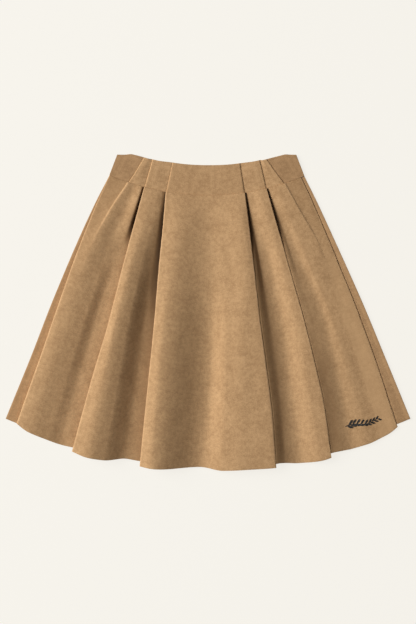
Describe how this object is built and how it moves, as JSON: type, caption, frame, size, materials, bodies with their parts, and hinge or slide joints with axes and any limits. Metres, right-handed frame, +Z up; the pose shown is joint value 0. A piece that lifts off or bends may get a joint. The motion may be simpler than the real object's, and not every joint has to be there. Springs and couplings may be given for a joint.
{
  "type": "a-line skirt",
  "caption": "Flared suede-look skirt laid flat, with a shaped waistband and outward knife pleats across the front.",
  "frame": {"origin": "on the surface the skirt lies on, under the centre of its outline", "axes": "+X across the skirt to the right as seen from the front, +Y from hem to waist, +Z up from the surface"},
  "size_m": [0.7454, 0.5814, 0.0292],
  "materials": {
    "suede": "matt brushed faux suede",
    "hip_suede": "matt faux suede, nap lying the other way",
    "back_suede": "matt faux suede",
    "thread": "satin embroidery thread"
  },
  "bodies": {
    "root": {"front_centre_panel": "suede", "front_inner_panel_left": "suede", "front_inner_panel_right": "suede", "front_outer_panel_left": "suede", "front_outer_panel_right": "suede", "front_waistband_centre": "suede", "front_waistband_inner_left": "suede", "front_waistband_inner_right": "suede", "front_waistband_outer_left": "suede", "front_waistband_outer_right": "suede", "front_waistband_hip_left": "hip_suede", "front_waistband_hip_right": "hip_suede", "back_skirt_left": "back_suede", "back_skirt_right": "back_suede", "back_waistband_left": "back_suede", "back_waistband_right": "back_suede", "embroidered_sprig": "thread"}
  },
  "joints": []
}
